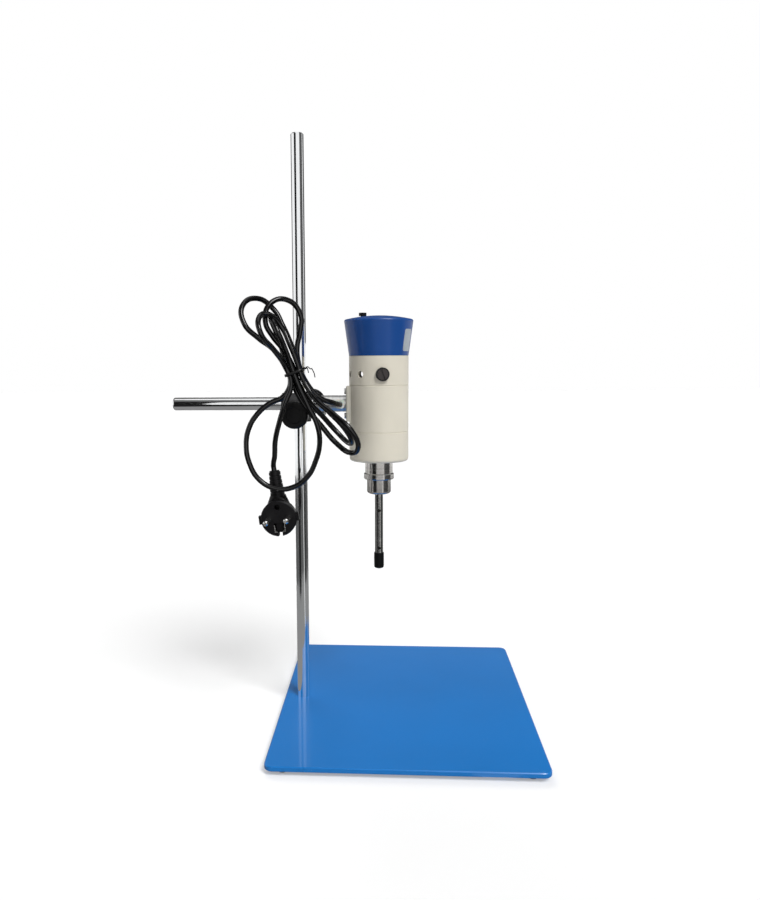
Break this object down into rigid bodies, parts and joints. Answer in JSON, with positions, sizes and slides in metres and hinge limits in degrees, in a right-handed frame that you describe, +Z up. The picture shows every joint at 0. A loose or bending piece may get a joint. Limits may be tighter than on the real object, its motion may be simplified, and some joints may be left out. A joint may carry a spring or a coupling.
{
  "type": "rotor stator homogenizer",
  "caption": "Small motor with a slim rotor stator dispersing tool, held by a sleeve on a cross rod and boss head over a blue plate stand, with its mains lead tied in a hank.",
  "frame": {"origin": "on the surface it stands on, in the middle of the box that the plate and the cross rod take", "axes": "+Z up along the pole, +X from the pole to the motor, -Y towards the side that the clamp's front knob and the plug face"},
  "size_m": [0.355, 0.3, 0.581],
  "materials": {
    "blue_enamel": "glossy blue enamel",
    "blue_cap": "glossy royal blue moulding",
    "cream_shell": "satin cream moulding",
    "rubber_foot": "matt",
    "chrome_bar": "polished",
    "boss_casting": "black coated casting",
    "turned_steel": "turned",
    "zinc_screw": "zinc plated",
    "knob_black": "satin",
    "grommet_white": "soft white",
    "pad_cream": "satin cream",
    "lamination": "stacked sheet",
    "copper": "enamelled copper",
    "bracket_alloy": "die cast",
    "carbon": "carbon",
    "black_moulding": "moulded",
    "board_green": "circuit board",
    "brass_part": "turned",
    "bush_white": "low friction plastic",
    "cord_black": "soft black sheath",
    "plug_black": "moulded",
    "pin_nickel": "nickel plated"
  },
  "bodies": {
    "stand": {"base_plate": "blue_enamel", "rubber_feet": "rubber_foot", "pole": "chrome_bar"},
    "clamp": {"boss_head": "boss_casting"},
    "pole_knob": {"pole_knob": "knob_black", "pole_screw": "zinc_screw"},
    "rod_knob": {"rod_knob": "knob_black", "rod_screw": "zinc_screw"},
    "rod": {"cross_rod": "chrome_bar"},
    "motor": {"mount_sleeve": "turned_steel", "sleeve_set_screw": "zinc_screw", "cord_grommet": "grommet_white", "mount_pad": "pad_cream", "pad_screws": "zinc_screw", "body_lower": "cream_shell", "body_middle": "cream_shell", "body_upper": "cream_shell", "top_cap": "blue_cap", "nose_sleeve": "turned_steel", "nose_lock_ring": "zinc_screw", "stator_core": "lamination", "field_coils": "copper", "lower_bearing": "turned_steel", "upper_bearing": "turned_steel", "end_bracket": "bracket_alloy", "brush_holders": "black_moulding", "carbon_brushes": "carbon", "brush_springs": "zinc_screw", "brush_caps": "black_moulding", "through_bolts": "zinc_screw", "speed_board": "board_green", "speed_pot": "black_moulding", "supply_cord": "cord_black", "cord_tie": "cord_black", "plug_body": "plug_black", "plug_pins": "pin_nickel", "plug_earth_clips": "pin_nickel", "plug_strain_relief": "plug_black"},
    "armature": {"motor_shaft": "turned_steel", "armature_core": "lamination", "armature_windings": "copper", "commutator": "copper", "cooling_fan": "black_moulding", "drive_dog": "turned_steel"},
    "speed_knob": {"speed_knob": "knob_black", "pot_shaft": "brass_part"},
    "tool": {"tool_hub": "turned_steel", "hub_seal": "black_moulding", "stator_tube": "chrome_bar", "upper_bush": "brass_part", "lower_bush": "bush_white"},
    "tool_rotor": {"tool_shaft": "turned_steel", "rotor_head": "turned_steel"},
    "tip_cap": {"tip_cap": "black_moulding"}
  },
  "joints": [
    {"name": "clamp_height", "type": "slide", "parent": "stand", "child": "clamp", "axis": [0, 0, 1], "range_m": [-0.1, 0.24]},
    {"name": "pole_knob_turn", "type": "hinge", "parent": "clamp", "child": "pole_knob", "pos_m": [-0.0535, -0.037, 0.3082], "axis": [0, -1, 0], "range_deg": [-360, 0]},
    {"name": "rod_knob_turn", "type": "hinge", "parent": "clamp", "child": "rod_knob", "pos_m": [-0.0437, 0.02, 0.318], "axis": [0, 1, 0], "range_deg": [-360, 0]},
    {"name": "rod_slide", "type": "slide", "parent": "clamp", "child": "rod", "axis": [1, 0, 0], "range_m": [0, 0.095]},
    {"name": "motor_tilt", "type": "hinge", "parent": "rod", "child": "motor", "pos_m": [-0.0175, -0.022, 0.318], "axis": [1, 0, 0], "range_deg": [-15, 15]},
    {"name": "armature_spin", "type": "hinge", "parent": "motor", "child": "armature", "pos_m": [0.0265, -0.022, 0.262], "axis": [0, 0, 1], "continuous": true},
    {"name": "tool_pull", "type": "slide", "parent": "motor", "child": "tool", "axis": [0, 0, -1], "range_m": [0, 0.025]},
    {"name": "tool_rotor_spin", "type": "hinge", "parent": "tool", "child": "tool_rotor", "pos_m": [0.0265, -0.022, 0.2], "axis": [0, 0, 1], "continuous": true},
    {"name": "tip_cap_pull", "type": "slide", "parent": "tool", "child": "tip_cap", "axis": [0, 0, -1], "range_m": [0, 0.018]},
    {"name": "speed_knob_turn", "type": "hinge", "parent": "motor", "child": "speed_knob", "pos_m": [0.011, -0.022, 0.402], "axis": [0, 0, 1], "range_deg": [0, 270]}
  ],
  "couplings": [
    {"joint": "tool_rotor_spin", "follows": "armature_spin", "ratio": 1}
  ]
}
